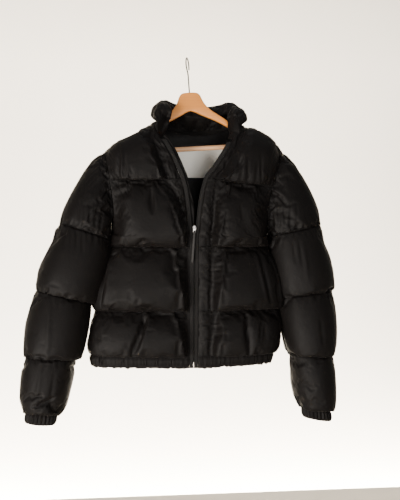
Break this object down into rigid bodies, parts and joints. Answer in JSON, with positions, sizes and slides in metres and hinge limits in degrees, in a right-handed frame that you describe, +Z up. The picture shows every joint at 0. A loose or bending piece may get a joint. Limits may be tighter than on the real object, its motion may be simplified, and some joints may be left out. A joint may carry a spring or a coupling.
{
  "type": "puffer jacket on a clothes hanger",
  "caption": "Cropped padded jacket with horizontal quilting, stand collar and half-open front zip, hanging filled out on a wooden hanger.",
  "frame": {"origin": "where the hook's inside rests on top of a rail", "axes": "+X towards the wearer's left, -Y out of the front, +Z up"},
  "size_m": [0.7309, 0.1866, 0.8554],
  "materials": {
    "shell": "matt nylon, softly glossy along the folds",
    "tape": "woven zip tape with moulded teeth",
    "label": "bare woven label",
    "wood": "clear varnish",
    "steel": "polished",
    "pull": "smooth grey moulded tongue"
  },
  "bodies": {
    "jacket": {"back": "shell", "collar": "shell", "cuff_left": "shell", "cuff_right": "shell", "front_left": "shell", "front_right": "shell", "hanger_bar": "wood", "hanger_hook": "steel", "hanger_yoke": "wood", "hem_back": "shell", "hem_left": "shell", "hem_right": "shell", "neck_label": "label", "pocket_welt_left": "shell", "pocket_welt_right": "shell", "sleeve_left": "shell", "sleeve_right": "shell", "zip_guard": "shell", "zip_slider": "steel", "zip_tape_left": "tape", "zip_tape_right": "tape"},
    "zip_pull": {"zip_pull": "pull"}
  },
  "joints": [
    {"name": "pull_swing", "type": "hinge", "parent": "jacket", "child": "zip_pull", "pos_m": [0.0086, -0.06885, -0.4005], "axis": [-1, 0, 0], "range_deg": [0, 150]}
  ]
}
